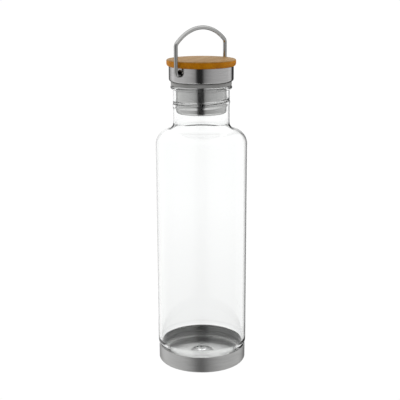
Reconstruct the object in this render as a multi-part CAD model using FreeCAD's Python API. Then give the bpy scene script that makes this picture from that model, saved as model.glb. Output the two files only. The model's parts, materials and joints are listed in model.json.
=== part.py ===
"""Clear glass water bottle with a steel base cup and a screw-in steel lid that has a bamboo top and a wire bail.

Millimetres, +Z up. The origin is the centre of the ring that the bottle stands on, the Z axis is the axis of
the bottle and of its thread, and the bail turns about an axis along X through the lid.
"""
import FreeCAD, Part
import math
import os

V = FreeCAD.Vector

# ---- Driving dimensions ------------------------------------------------------------------------------------
# Bottle
BODY_RADIUS = 37.0            # outside of the straight glass wall
BODY_TOP = 185.2              # where the straight wall ends and the shoulder begins
GLASS_WALL = 2.0
FLOOR_THICKNESS = 3.0
HEEL_RADIUS = 6.0             # outside rounding between the glass wall and its floor
PUSH_UP_HEIGHT = 1.6
PUSH_UP_RADIUS = 9.5
PUSH_UP_CROWN = 3.0           # radius of the rise's flat crown before rounding
PUSH_UP_ROUND = 4.0
INNER_HEEL_ROUND = 4.5
FLARE_LENGTH = 3.0            # of the glass's step from the cup's radius out to the body's
FLARE_ROUND = 6.0
SHOULDER_RADIUS = 11.5
SHOULDER_SLOPE = math.radians(15.0)
NECK_FOOT_RADIUS = 6.0        # concave blend between shoulder and neck
NECK_LENGTH = 26.7            # straight outside of the neck, up to the lip
NECK_WALL = 1.2
LIP_HEIGHT = 3.0
LIP_OVERHANG = 2.0
LIP_ROUND = 1.3
LIP_UNDER_ROUND = 0.6
MOUTH_ROUND = 0.9
EDGE_ROUND = 0.2              # broken edges of sheet metal and moulded pieces

# Base cup
CUP_SETBACK = 0.65            # the cup's outside stands this far inside the glass wall
CUP_HEIGHT = 13.5
CUP_SHEET = 0.5
CUP_CORNER = 1.5
CUP_RING_WIDTH = 5.7          # width of the ring that the bottle stands on
CUP_PANEL_RISE = 1.4          # height of the raised centre panel above that ring
CUP_STEP_RUN = 1.2            # width of the slope up to the panel
CUP_STEP_ROUND = 0.4          # its inner bends; the outer ones add the sheet
BOND_GAP = 0.25               # thickness of the bond between glass and cup
BOND_SETBACK = 0.3            # below the cup's rim
HAIR = 0.02                   # clearance between pieces that are bonded or pressed together

# Thread
THREAD_PITCH = 6.0
THREAD_HEIGHT = 0.9
THREAD_CLEARANCE = 0.4        # radial, crest to root
THREAD_FLANK_GAP = 0.25       # axial, between bearing flanks with the lid closed
PLUG_THREAD_WIDTH = 4.2
NECK_THREAD_WIDTH = 2.4
PLUG_THREAD_TURNS = 1.0
NECK_THREAD_TURNS = 1.1
BULGE_HEIGHT = 0.45           # the neck's outside swells where the thread groove runs
BULGE_WIDTH = 3.4
THREAD_SINK = 0.15            # how far a thread's root is sunk into its wall
PLUG_THREAD_START = 4.4       # height of the lowest thread centre above the plug's bottom
PLUG_THREAD_ANGLE = 50.0      # degrees, where the plug's thread starts at its lower end

# Lid
PLUG_RADIUS = 20.2            # root of the plug's thread
PLUG_DEPTH = 22.2             # from the top of the glass lip to the plug's bottom
PLUG_SHEET = 0.6
PLUG_CORNER = 2.0
PLUG_FLANGE = 3.6
SEAL_THICKNESS = 3.0
SEAL_SETBACK = 0.4            # the seal's outside stands this far inside the lip's
SEAL_ROUND = 0.5
SEAL_GAP = 0.05
SHELL_OVERHANG = 1.15         # shell radius over lip radius
SHELL_HEIGHT = 11.9
SHELL_SHEET = 0.6
SHELL_CORNER = 2.0
DISC_OVERHANG = 1.8           # bamboo radius over shell radius
DISC_THICKNESS = 5.5
DISC_TOP_ROUND = 1.0
DISC_LOWER_ROUND = 2.3
SPIGOT_DEPTH = 2.0
FIT_GAP = 0.1                 # radial clearance of the core and spigot in the shell

# Bail and its pivots
WIRE_RADIUS = 1.55
BAIL_GAP = 1.3                # between the bail's legs and the bamboo disc
BAIL_RISE = 35.1              # from the pivot axis to the wire's centre at the top of the bail
BAIL_ARCH_RADIUS = 46.0
BAIL_SHOULDER_RADIUS = 4.0
BAIL_HOOK_RADIUS = 3.0
SLOT_SIDE_GAP = 0.55          # between the wire and each side of its slot
SLOT_CLEARANCE = 0.1          # below the wire
SLOT_TOP_MARGIN = 0.7         # of shell above the slot
BUSH_RUNNING = 0.05           # radial clearance of the wire in its bush
BUSH_WALL = 0.9
BUSH_LENGTH = 3.8
BUSH_FLANGE = 0.6
BUSH_FLANGE_STEP = 0.35
BUSH_HEAD_GAP = 0.25          # between the bush's flange and the bamboo's spigot
POCKET_DEPTH = 4.9            # free space between the shell's inside and the bearing blocks
WIRE_END_GAP = 0.3

# Moulded core and its screws
CORE_PLATE = 1.3
CORE_WALL = 1.6
CORE_INNER_ROUND = 0.5
BLOCK_HALF_WIDTH = 4.6
BLOCK_END_WALL = 1.6
BLOCK_FLOOR = 1.3             # material below the bush
RIB_THICKNESS = 1.2
RIB_DROP = 5.0
BOSS_RADIUS = 3.4
SCREW_CIRCLE = 11.0
SCREW_RADIUS = 1.5
SCREW_HEAD_RADIUS = 2.9
SCREW_HEAD_HEIGHT = 1.9
SCREW_BITE = 4.0              # length of screw in the bamboo
SCREW_COUNT = 3
SCREW_DRIVE_RADIUS = 1.2
SCREW_DRIVE_DEPTH = 1.0
SCREW_DRIVE_HALF_WIDTH = 0.3
SCREW_HEAD_ROUND = 0.9
SCREW_POINT = 0.3             # blunt end's radius
SCREW_HOLE_DEPTH = 0.5        # of blind hole past the screw's point

# ---- Places worked out from the driving dimensions ---------------------------------------------------------
CUP_RADIUS = BODY_RADIUS - CUP_SETBACK
CUP_INNER = CUP_RADIUS - CUP_SHEET
SEAT_RADIUS = CUP_INNER - BOND_GAP                    # outside of the glass inside the cup
PANEL_RADIUS = CUP_RADIUS - CUP_RING_WIDTH
PANEL_TOP = CUP_PANEL_RISE + CUP_SHEET
GLASS_BOTTOM = PANEL_TOP + BOND_GAP
GLASS_FLOOR = GLASS_BOTTOM + FLOOR_THICKNESS
RIM_TOP = CUP_HEIGHT + BOND_GAP                       # where the glass steps out over the cup's rim

NECK_BORE = PLUG_RADIUS + THREAD_HEIGHT + THREAD_CLEARANCE
NECK_RADIUS = NECK_BORE + NECK_WALL
LIP_RADIUS = NECK_RADIUS + LIP_OVERHANG
HALF_TURN = math.tan((math.pi / 2 - SHOULDER_SLOPE) / 2)
SHOULDER_Z = BODY_TOP + SHOULDER_RADIUS * HALF_TURN   # corner of wall and shoulder before rounding
NECK_FOOT_Z = SHOULDER_Z + (BODY_RADIUS - NECK_RADIUS) * math.tan(SHOULDER_SLOPE)
LIP_BOTTOM = NECK_FOOT_Z + NECK_FOOT_RADIUS * HALF_TURN + NECK_LENGTH
LIP_TOP = LIP_BOTTOM + LIP_HEIGHT

PLUG_BOTTOM = LIP_TOP - PLUG_DEPTH
SEAL_BOTTOM = LIP_TOP + SEAL_GAP
SEAL_TOP = SEAL_BOTTOM + SEAL_THICKNESS
SHELL_BOTTOM = SEAL_TOP + SEAL_GAP
SHELL_TOP = SHELL_BOTTOM + SHELL_HEIGHT
SHELL_RADIUS = LIP_RADIUS + SHELL_OVERHANG
SHELL_INNER = SHELL_RADIUS - SHELL_SHEET
FLANGE_TOP = SHELL_BOTTOM + SHELL_SHEET + PLUG_SHEET
DISC_RADIUS = SHELL_RADIUS + DISC_OVERHANG
DISC_TOP = SHELL_TOP + DISC_THICKNESS
SPIGOT_RADIUS = SHELL_INNER - FIT_GAP
SPIGOT_BOTTOM = SHELL_TOP - SPIGOT_DEPTH

BAIL_RADIUS = DISC_RADIUS + BAIL_GAP + WIRE_RADIUS    # from the bottle's axis to the centre of a leg
BUSH_BORE = WIRE_RADIUS + BUSH_RUNNING
BUSH_RADIUS = BUSH_BORE + BUSH_WALL
BUSH_FLANGE_RADIUS = BUSH_RADIUS + BUSH_FLANGE_STEP
PIVOT_Z = SPIGOT_BOTTOM - BUSH_HEAD_GAP - BUSH_FLANGE_RADIUS
BLOCK_FACE = SHELL_INNER - FIT_GAP - POCKET_DEPTH     # outer end of a bearing block
BUSH_FACE = BLOCK_FACE + BUSH_FLANGE
BUSH_INNER_END = BLOCK_FACE - BUSH_LENGTH
WIRE_END = BUSH_INNER_END + WIRE_END_GAP
BLOCK_BACK = BUSH_INNER_END - BLOCK_END_WALL
CORE_BOTTOM = FLANGE_TOP + HAIR
CORE_TOP = SPIGOT_BOTTOM - HAIR
CORE_RADIUS = SHELL_INNER - FIT_GAP


# ---- Construction helpers ----------------------------------------------------------------------------------
def rounded_outline(corners):
    """Closed wire in the XZ plane through (x, z) or (x, z, radius) corners, each rounded by a tangent arc."""
    points = [V(c[0], 0, c[1]) for c in corners]
    radii = [c[2] if len(c) > 2 else 0.0 for c in corners]
    count = len(points)
    spans = []
    for i, corner in enumerate(points):
        before = (points[i - 1] - corner).normalize()
        after = (points[(i + 1) % count] - corner).normalize()
        half = before.getAngle(after) / 2
        if radii[i] == 0 or abs(math.pi / 2 - half) < 1e-6:
            spans.append((corner, None, corner))
            continue
        reach = radii[i] / math.tan(half)
        inward = (before + after).normalize()
        middle = corner + inward * (radii[i] / math.sin(half) - radii[i])
        spans.append((corner + before * reach, middle, corner + after * reach))
    edges = []
    for i, (start, middle, end) in enumerate(spans):
        if middle is not None:
            edges.append(Part.Arc(start, middle, end).toShape())
        following = spans[(i + 1) % count][0]
        if (following - end).Length > 1e-6:
            edges.append(Part.LineSegment(end, following).toShape())
    return Part.Wire(edges)


def turned(corners):
    """Solid of revolution about Z from a rounded outline."""
    return Part.Face(rounded_outline(corners)).revolve(V(0, 0, 0), V(0, 0, 1), 360)


def cylinder(radius, bottom, top, centre=(0, 0)):
    return Part.makeCylinder(radius, top - bottom, V(centre[0], centre[1], bottom), V(0, 0, 1))


def bar_x(radius, start, end, z):
    """Round bar along X between two x places."""
    return Part.makeCylinder(radius, end - start, V(start, 0, z), V(1, 0, 0))


def block(x0, x1, y0, y1, z0, z1):
    return Part.makeBox(x1 - x0, y1 - y0, z1 - z0, V(x0, y0, z0))


def ridge_arc(width, height):
    """Radius of the arc across a ridge of this width and height."""
    return (width ** 2 / 4 + height ** 2) / (2 * height)


def thread_ridge(radius, height, width, start_z, start_angle, turns, inwards=False):
    """Right-hand helical ridge of round section on a wall of this radius, with its root sunk into the wall."""
    side = -1 if inwards else 1
    arc = ridge_arc(width, height)
    half = math.sqrt(arc ** 2 - (arc - height - THREAD_SINK) ** 2)
    root = radius - side * THREAD_SINK
    arch = Part.Arc(V(root, 0, -half), V(radius + side * height, 0, 0), V(root, 0, half)).toShape()
    back = Part.LineSegment(V(root, 0, half), V(root, 0, -half)).toShape()
    path = Part.makeHelix(THREAD_PITCH, THREAD_PITCH * turns, radius)
    ridge = Part.Wire(path.Edges).makePipeShell([Part.Wire([arch, back])], True, True)
    ridge.rotate(V(0, 0, 0), V(0, 0, 1), start_angle)
    ridge.translate(V(0, 0, start_z))
    return ridge


# ---- Bottle ------------------------------------------------------------------------------------------------
def make_glass_body():
    slope = math.tan(SHOULDER_SLOPE)
    inner_radius = BODY_RADIUS - GLASS_WALL
    seat_inner = SEAT_RADIUS - GLASS_WALL
    inner_shoulder_z = SHOULDER_Z + GLASS_WALL * (slope - 1 / math.cos(SHOULDER_SLOPE))
    inner_foot_z = inner_shoulder_z + (inner_radius - NECK_BORE) * slope
    flare_top = RIM_TOP + FLARE_LENGTH
    glass = turned([
        (0, GLASS_BOTTOM + PUSH_UP_HEIGHT),
        (PUSH_UP_CROWN, GLASS_BOTTOM + PUSH_UP_HEIGHT, PUSH_UP_ROUND),
        (PUSH_UP_RADIUS, GLASS_BOTTOM, PUSH_UP_ROUND),
        (SEAT_RADIUS, GLASS_BOTTOM, HEEL_RADIUS),
        (SEAT_RADIUS, RIM_TOP),
        (CUP_RADIUS, RIM_TOP, EDGE_ROUND),
        (BODY_RADIUS, flare_top, FLARE_ROUND),
        (BODY_RADIUS, SHOULDER_Z, SHOULDER_RADIUS),
        (NECK_RADIUS, NECK_FOOT_Z, NECK_FOOT_RADIUS),
        (NECK_RADIUS, LIP_BOTTOM, LIP_UNDER_ROUND),
        (LIP_RADIUS, LIP_BOTTOM, LIP_ROUND),
        (LIP_RADIUS, LIP_TOP, LIP_ROUND),
        (NECK_BORE, LIP_TOP, MOUTH_ROUND),
        (NECK_BORE, inner_foot_z, NECK_FOOT_RADIUS + NECK_WALL),
        (inner_radius, inner_shoulder_z, SHOULDER_RADIUS - GLASS_WALL),
        (inner_radius, flare_top + GLASS_WALL, FLARE_ROUND),
        (seat_inner, RIM_TOP, FLARE_ROUND),
        (seat_inner, GLASS_FLOOR, INNER_HEEL_ROUND),
        (PUSH_UP_RADIUS, GLASS_FLOOR, PUSH_UP_ROUND),
        (PUSH_UP_CROWN, GLASS_FLOOR + PUSH_UP_HEIGHT, PUSH_UP_ROUND),
        (0, GLASS_FLOOR + PUSH_UP_HEIGHT),
    ])
    # The neck's thread bears on top of the plug's, so it sits one flank gap above it.
    both = ridge_arc(PLUG_THREAD_WIDTH, THREAD_HEIGHT) + ridge_arc(NECK_THREAD_WIDTH, THREAD_HEIGHT)
    lap = THREAD_HEIGHT - THREAD_CLEARANCE
    contact = math.sqrt(both ** 2 - (both - lap) ** 2) + THREAD_FLANK_GAP
    plug_start = PLUG_BOTTOM + PLUG_THREAD_START
    ridge = thread_ridge(NECK_BORE, THREAD_HEIGHT, NECK_THREAD_WIDTH,
                         plug_start + contact, PLUG_THREAD_ANGLE, NECK_THREAD_TURNS, inwards=True)
    bulge = thread_ridge(NECK_RADIUS, BULGE_HEIGHT, BULGE_WIDTH, plug_start, PLUG_THREAD_ANGLE, NECK_THREAD_TURNS)
    return glass.fuse([ridge, bulge])


def make_base_cup():
    """Drawn steel cup; the slope between its standing ring and its raised panel keeps the sheet's thickness."""
    half_run = CUP_STEP_RUN / 2
    outer_bend = CUP_STEP_ROUND + CUP_SHEET
    return turned([
        (0, CUP_PANEL_RISE),
        (PANEL_RADIUS - half_run, CUP_PANEL_RISE, CUP_STEP_ROUND),
        (PANEL_RADIUS + half_run, 0, outer_bend),
        (CUP_RADIUS, 0, CUP_CORNER),
        (CUP_RADIUS, CUP_HEIGHT, EDGE_ROUND),
        (CUP_INNER, CUP_HEIGHT, EDGE_ROUND),
        (CUP_INNER, CUP_SHEET, CUP_CORNER - CUP_SHEET),
        (PANEL_RADIUS + half_run + HAIR, CUP_SHEET, CUP_STEP_ROUND),
        (PANEL_RADIUS - half_run + HAIR, PANEL_TOP, outer_bend),
        (0, PANEL_TOP),
    ])


def make_base_bond():
    """Silicone bead that fills the corner of the cup round the glass heel and runs up between the walls."""
    inner = PANEL_RADIUS + CUP_STEP_RUN
    top = CUP_HEIGHT - BOND_SETBACK
    heel_x = SEAT_RADIUS - HEEL_RADIUS
    heel_z = GLASS_BOTTOM + HEEL_RADIUS
    reach = HEEL_RADIUS + HAIR
    first = math.acos((inner - heel_x) / reach)
    arc = [V(heel_x + reach * math.cos(a), 0, heel_z - reach * math.sin(a)) for a in (first, first / 2, 0)]
    corners = [
        arc[2],
        V(SEAT_RADIUS + HAIR, 0, top),
        V(CUP_INNER - HAIR, 0, top),
        V(CUP_INNER - HAIR, 0, CUP_CORNER),
        V(CUP_RADIUS - CUP_CORNER, 0, CUP_SHEET + HAIR),
        V(inner, 0, CUP_SHEET + HAIR),
        arc[0],
    ]
    edges = [Part.Arc(*arc).toShape()]
    for start, end in zip(corners[:-1], corners[1:]):
        edges.append(Part.LineSegment(start, end).toShape())
    return Part.Face(Part.Wire(edges)).revolve(V(0, 0, 0), V(0, 0, 1), 360)


# ---- Seal --------------------------------------------------------------------------------------------------
def make_seal_ring():
    outer = LIP_RADIUS - SEAL_SETBACK
    inner = PLUG_RADIUS + FIT_GAP
    return turned([
        (inner, SEAL_BOTTOM),
        (outer, SEAL_BOTTOM, SEAL_ROUND),
        (outer, SEAL_TOP, SEAL_ROUND),
        (inner, SEAL_TOP),
    ])


# ---- Lid ---------------------------------------------------------------------------------------------------
def make_lid_shell():
    """Drawn steel ring, open at the top, with an inward flange below and a slot at each side for the bail."""
    hole = PLUG_RADIUS + FIT_GAP
    shell = turned([
        (hole, SHELL_BOTTOM, EDGE_ROUND),
        (SHELL_RADIUS, SHELL_BOTTOM, SHELL_CORNER),
        (SHELL_RADIUS, SHELL_TOP),
        (SHELL_INNER, SHELL_TOP),
        (SHELL_INNER, SHELL_BOTTOM + SHELL_SHEET, SHELL_CORNER - SHELL_SHEET),
        (hole, SHELL_BOTTOM + SHELL_SHEET, EDGE_ROUND),
    ])
    half = WIRE_RADIUS + SLOT_SIDE_GAP
    lower = PIVOT_Z - WIRE_RADIUS - SLOT_CLEARANCE + half
    upper = SHELL_TOP - SLOT_TOP_MARGIN - half
    reach = SHELL_RADIUS + 1.0
    slot = bar_x(half, -reach, reach, lower).fuse([
        bar_x(half, -reach, reach, upper),
        block(-reach, reach, -half, half, lower, upper),
    ])
    return shell.cut(slot)


def make_thread_plug():
    """Drawn steel cup that screws into the neck; its top flange lies on the shell's flange."""
    inner = PLUG_RADIUS - PLUG_SHEET
    flange = PLUG_RADIUS + PLUG_FLANGE
    flange_bottom = SHELL_BOTTOM + SHELL_SHEET + HAIR
    plug = turned([
        (0, PLUG_BOTTOM),
        (PLUG_RADIUS, PLUG_BOTTOM, PLUG_CORNER),
        (PLUG_RADIUS, flange_bottom, EDGE_ROUND),
        (flange, flange_bottom, EDGE_ROUND),
        (flange, FLANGE_TOP, EDGE_ROUND),
        (inner, FLANGE_TOP, EDGE_ROUND + PLUG_SHEET),
        (inner, PLUG_BOTTOM + PLUG_SHEET, PLUG_CORNER - PLUG_SHEET),
        (0, PLUG_BOTTOM + PLUG_SHEET),
    ])
    ridge = thread_ridge(PLUG_RADIUS, THREAD_HEIGHT, PLUG_THREAD_WIDTH,
                         PLUG_BOTTOM + PLUG_THREAD_START, PLUG_THREAD_ANGLE, PLUG_THREAD_TURNS)
    return plug.fuse(ridge)


def screw_places():
    """Centres of the screws, clear of the bearing blocks."""
    for i in range(SCREW_COUNT):
        angle = math.radians(90 + i * 360 / SCREW_COUNT)
        yield SCREW_CIRCLE * math.cos(angle), SCREW_CIRCLE * math.sin(angle)


def make_lid_core():
    """Moulded plate and skirt with a bearing block for each end of the bail and a boss for each screw."""
    wall_inner = CORE_RADIUS - CORE_WALL
    core = turned([
        (0, CORE_TOP - CORE_PLATE),
        (wall_inner, CORE_TOP - CORE_PLATE, CORE_INNER_ROUND),
        (wall_inner, CORE_BOTTOM),
        (CORE_RADIUS, CORE_BOTTOM, min(SHELL_CORNER - SHELL_SHEET, CORE_WALL - FIT_GAP)),
        (CORE_RADIUS, CORE_TOP, EDGE_ROUND),
        (0, CORE_TOP),
    ])
    block_bottom = PIVOT_Z - BUSH_RADIUS - BLOCK_FLOOR
    rib_bottom = CORE_TOP - CORE_PLATE - RIB_DROP
    added = [block(-BLOCK_BACK, BLOCK_BACK, -RIB_THICKNESS / 2, RIB_THICKNESS / 2, rib_bottom, CORE_TOP)]
    for side in (-1, 1):
        ends = sorted((side * BLOCK_BACK, side * BLOCK_FACE))
        added.append(block(ends[0], ends[1], -BLOCK_HALF_WIDTH, BLOCK_HALF_WIDTH, block_bottom, CORE_TOP))
    for x, y in screw_places():
        added.append(cylinder(BOSS_RADIUS, rib_bottom + RIB_THICKNESS, CORE_TOP, (x, y)))
    core = core.fuse(added)
    removed = []
    for side in (-1, 1):
        pocket = sorted((side * BLOCK_FACE, side * (CORE_RADIUS + 1)))
        removed.append(block(pocket[0], pocket[1], -BLOCK_HALF_WIDTH, BLOCK_HALF_WIDTH, block_bottom, CORE_TOP + 1))
        hole = sorted((side * BUSH_INNER_END, side * (BLOCK_FACE + 1)))
        removed.append(bar_x(BUSH_RADIUS + HAIR, hole[0], hole[1], PIVOT_Z))
    for x, y in screw_places():
        removed.append(cylinder(SCREW_RADIUS + FIT_GAP, CORE_BOTTOM, CORE_TOP + 1, (x, y)))
    return core.cut(removed)


def make_pivot_bush(side):
    """Flanged bush pressed into a bearing block; side is -1 or 1 along X."""
    inner, face = BUSH_INNER_END + HAIR, BLOCK_FACE + HAIR
    body = bar_x(BUSH_RADIUS, inner, face, PIVOT_Z)
    flange = bar_x(BUSH_FLANGE_RADIUS, face, BUSH_FACE, PIVOT_Z)
    bush = body.fuse(flange).cut(bar_x(BUSH_BORE, inner - 1, BUSH_FACE + 1, PIVOT_Z))
    if side < 0:
        bush.rotate(V(0, 0, 0), V(0, 0, 1), 180)
    return bush.removeSplitter()


def make_bamboo_disc():
    """Turned disc that overhangs the shell, with a spigot that drops into it and a blind hole for each screw."""
    disc = turned([
        (0, SPIGOT_BOTTOM),
        (SPIGOT_RADIUS, SPIGOT_BOTTOM, EDGE_ROUND),
        (SPIGOT_RADIUS, SHELL_TOP + HAIR),
        (DISC_RADIUS, SHELL_TOP + HAIR, DISC_LOWER_ROUND),
        (DISC_RADIUS, DISC_TOP, DISC_TOP_ROUND),
        (0, DISC_TOP),
    ])
    holes = [cylinder(SCREW_RADIUS + HAIR, SPIGOT_BOTTOM - 1, SPIGOT_BOTTOM + SCREW_BITE + SCREW_HOLE_DEPTH, place)
             for place in screw_places()]
    return disc.cut(holes)


def make_disc_screw(place):
    """Pan-head screw, point upwards, driven from below the core into the bamboo."""
    seat = CORE_TOP - CORE_PLATE - RIB_DROP + RIB_THICKNESS
    tip = SPIGOT_BOTTOM + SCREW_BITE
    head_bottom = seat - HAIR - SCREW_HEAD_HEIGHT
    screw = turned([
        (0, head_bottom),
        (SCREW_HEAD_RADIUS, head_bottom, SCREW_HEAD_ROUND),
        (SCREW_HEAD_RADIUS, seat - HAIR, EDGE_ROUND),
        (SCREW_RADIUS, seat - HAIR),
        (SCREW_RADIUS, tip - SCREW_RADIUS),
        (SCREW_POINT, tip),
        (0, tip),
    ])
    reach, half = SCREW_DRIVE_RADIUS, SCREW_DRIVE_HALF_WIDTH
    drive_top = head_bottom + SCREW_DRIVE_DEPTH
    arms = [
        block(-reach, reach, -half, half, head_bottom - 1, drive_top),
        block(-half, half, -reach, reach, head_bottom - 1, drive_top),
    ]
    screw = screw.cut(arms)
    screw.translate(V(place[0], place[1], 0))
    return screw


# ---- Bail --------------------------------------------------------------------------------------------------
def make_bail_handle():
    """One round wire: an end in each bush, a hook out and up, a straight leg, a tight shoulder and a wide arch."""
    top = PIVOT_Z + BAIL_RISE
    arch_centre = top - BAIL_ARCH_RADIUS
    shoulder_x = BAIL_RADIUS - BAIL_SHOULDER_RADIUS
    spread = BAIL_ARCH_RADIUS - BAIL_SHOULDER_RADIUS
    shoulder_z = arch_centre + math.sqrt(spread ** 2 - shoulder_x ** 2)
    lean = math.atan2(shoulder_z - arch_centre, shoulder_x)
    hook_x = BAIL_RADIUS - BAIL_HOOK_RADIUS
    hook_z = PIVOT_Z + BAIL_HOOK_RADIUS
    corner = math.radians(45)

    def side_points(side):
        end = V(side * WIRE_END, 0, PIVOT_Z)
        hook_start = V(side * hook_x, 0, PIVOT_Z)
        hook_middle = V(side * (hook_x + BAIL_HOOK_RADIUS * math.cos(corner)), 0,
                        hook_z - BAIL_HOOK_RADIUS * math.sin(corner))
        hook_end = V(side * BAIL_RADIUS, 0, hook_z)
        leg_top = V(side * BAIL_RADIUS, 0, shoulder_z)
        shoulder_middle = V(side * (shoulder_x + BAIL_SHOULDER_RADIUS * math.cos(lean / 2)), 0,
                            shoulder_z + BAIL_SHOULDER_RADIUS * math.sin(lean / 2))
        shoulder_end = V(side * BAIL_ARCH_RADIUS * math.cos(lean), 0,
                         arch_centre + BAIL_ARCH_RADIUS * math.sin(lean))
        return end, hook_start, hook_middle, hook_end, leg_top, shoulder_middle, shoulder_end

    left = side_points(-1)
    right = side_points(1)
    edges = [
        Part.LineSegment(left[0], left[1]),
        Part.Arc(left[1], left[2], left[3]),
        Part.LineSegment(left[3], left[4]),
        Part.Arc(left[4], left[5], left[6]),
        Part.Arc(left[6], V(0, 0, top), right[6]),
        Part.Arc(right[6], right[5], right[4]),
        Part.LineSegment(right[4], right[3]),
        Part.Arc(right[3], right[2], right[1]),
        Part.LineSegment(right[1], right[0]),
    ]
    path = Part.Wire([edge.toShape() for edge in edges])
    section = Part.Wire(Part.makeCircle(WIRE_RADIUS, left[0], V(1, 0, 0)))
    return path.makePipeShell([section], True, False)


def main():
    os.makedirs("parts", exist_ok=True)
    pieces = {
        "glass_body": make_glass_body(),
        "base_cup": make_base_cup(),
        "base_bond": make_base_bond(),
        "seal_ring": make_seal_ring(),
        "lid_shell": make_lid_shell(),
        "thread_plug": make_thread_plug(),
        "lid_core": make_lid_core(),
        "pivot_bush_left": make_pivot_bush(-1),
        "pivot_bush_right": make_pivot_bush(1),
        "bamboo_disc": make_bamboo_disc(),
        "bail_handle": make_bail_handle(),
    }
    for number, place in enumerate(screw_places(), 1):
        pieces[f"disc_screw_{number}"] = make_disc_screw(place)
    for name, shape in pieces.items():
        shape.exportStep(f"parts/{name}.step")
        print(name, "valid" if shape.isValid() else "NOT VALID", len(shape.Solids), "solid",
              round(shape.Volume, 1), "mm3", round(shape.BoundBox.ZMin, 2), round(shape.BoundBox.ZMax, 2))


main()
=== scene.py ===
"""Looks of a clear glass water bottle: steel base cup, threaded neck, steel screw lid with a bamboo top, wire
bail. Lengths are in metres. The frame gives every piece its place; the walls and rounds are named here."""
import bpy
import bmesh
import json
import math
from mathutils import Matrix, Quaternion, Vector

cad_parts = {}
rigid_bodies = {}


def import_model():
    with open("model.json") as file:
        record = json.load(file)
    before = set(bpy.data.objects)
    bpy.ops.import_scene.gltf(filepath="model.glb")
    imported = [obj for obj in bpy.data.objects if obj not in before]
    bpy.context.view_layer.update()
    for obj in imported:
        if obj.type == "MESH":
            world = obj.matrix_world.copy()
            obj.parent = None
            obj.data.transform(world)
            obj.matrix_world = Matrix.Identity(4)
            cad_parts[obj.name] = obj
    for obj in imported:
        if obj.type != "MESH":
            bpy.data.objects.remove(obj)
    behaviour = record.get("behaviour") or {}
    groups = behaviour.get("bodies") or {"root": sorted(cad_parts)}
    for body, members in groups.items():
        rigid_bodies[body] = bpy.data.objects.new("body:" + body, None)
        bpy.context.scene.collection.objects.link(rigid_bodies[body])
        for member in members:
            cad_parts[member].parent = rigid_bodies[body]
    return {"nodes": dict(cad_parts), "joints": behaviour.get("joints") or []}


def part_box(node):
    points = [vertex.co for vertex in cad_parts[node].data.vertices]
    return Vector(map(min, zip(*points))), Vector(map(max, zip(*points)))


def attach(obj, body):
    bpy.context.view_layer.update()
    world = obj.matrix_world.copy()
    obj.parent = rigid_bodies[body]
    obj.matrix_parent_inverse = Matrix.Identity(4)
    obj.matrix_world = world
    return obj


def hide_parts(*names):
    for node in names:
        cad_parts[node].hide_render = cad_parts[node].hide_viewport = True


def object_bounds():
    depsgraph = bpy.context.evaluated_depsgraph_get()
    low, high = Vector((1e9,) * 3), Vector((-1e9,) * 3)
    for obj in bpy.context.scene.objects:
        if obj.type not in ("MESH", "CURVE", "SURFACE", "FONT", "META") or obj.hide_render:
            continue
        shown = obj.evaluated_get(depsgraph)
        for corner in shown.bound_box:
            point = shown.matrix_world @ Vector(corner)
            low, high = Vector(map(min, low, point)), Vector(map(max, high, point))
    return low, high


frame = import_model()
cad_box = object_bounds()
MM = 0.001

# ---- Places read from the frame ----------------------------------------------------------------------------
glass_low, glass_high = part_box("glass_body")
cup_low, cup_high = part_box("base_cup")
seal_low, seal_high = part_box("seal_ring")
shell_low, shell_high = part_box("lid_shell")
plug_low, plug_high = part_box("thread_plug")
disc_low, disc_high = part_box("bamboo_disc")
bail_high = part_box("bail_handle")[1]
bush_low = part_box("pivot_bush_right")[0]

BODY_RADIUS = glass_high.x
CUP_RADIUS = cup_high.x
CUP_TOP = cup_high.z
LIP_TOP = glass_high.z
SEAL_RADIUS = seal_high.x
SHELL_RADIUS = shell_high.x
PLUG_BOTTOM = plug_low.z
DISC_RADIUS = disc_high.x
DISC_TOP = disc_high.z
PIVOT = [j for j in frame["joints"] if j["name"] == "handle_swing"][0]["pos_m"][2]

# ---- Walls and rounds --------------------------------------------------------------------------------------
GLASS_WALL = 2.0 * MM
GLASS_FLOOR = 3.0 * MM
PLUG_RADIUS = 20.2 * MM
THREAD_PITCH = 6.0 * MM
THREAD_HEIGHT = 0.9 * MM
NECK_BORE = PLUG_RADIUS + THREAD_HEIGHT + 0.4 * MM
NECK_RADIUS = NECK_BORE + 1.2 * MM
LIP_RADIUS = NECK_RADIUS + 2.0 * MM
LIP_HEIGHT = 3.0 * MM
LIP_ROUND = 1.3 * MM
NECK_LENGTH = 26.7 * MM
SHOULDER_SLOPE = math.radians(15)
SHOULDER_ROUND = 11.5 * MM
NECK_FOOT_ROUND = 6.0 * MM
FLARE_HEIGHT = 3.0 * MM
FLARE_ROUND = 6.0 * MM
CUP_SHEET = 0.5 * MM
CUP_CORNER = 1.5 * MM
BOND_GAP = 0.25 * MM
SEAT_RADIUS = CUP_RADIUS - CUP_SHEET - BOND_GAP
HEEL_ROUND = 6.0 * MM
PUSH_UP = 1.6 * MM
PUSH_UP_FOOT = 9.5 * MM
PUSH_UP_CROWN = 3.0 * MM
PUSH_UP_ROUND = 4.0 * MM
PANEL_RADIUS = CUP_RADIUS - 5.7 * MM
PANEL_RISE = 1.4 * MM
LID_SHEET = 0.6 * MM
SHELL_CORNER = 2.0 * MM
PLUG_CORNER = 2.0 * MM
PLUG_FLANGE_RADIUS = plug_high.x
SHEET_EDGE = 0.2 * MM
WIRE_RADIUS = 1.55 * MM
SLOT_PLAY = 0.55 * MM

# ---- Fineness of the meshes --------------------------------------------------------------------------------
TURN_SEGMENTS = 224
WALL_STEP = 14.0 * MM
THREAD_STEP = 0.33 * MM
WALL_BAND = 0.1 * MM
WELD = 1e-6


# ---- Small helpers -----------------------------------------------------------------------------------------
def arc_step(radius):
    """Angle between points on a round, finer on larger ones."""
    return math.radians(20 if radius < 1 * MM else 9)


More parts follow.
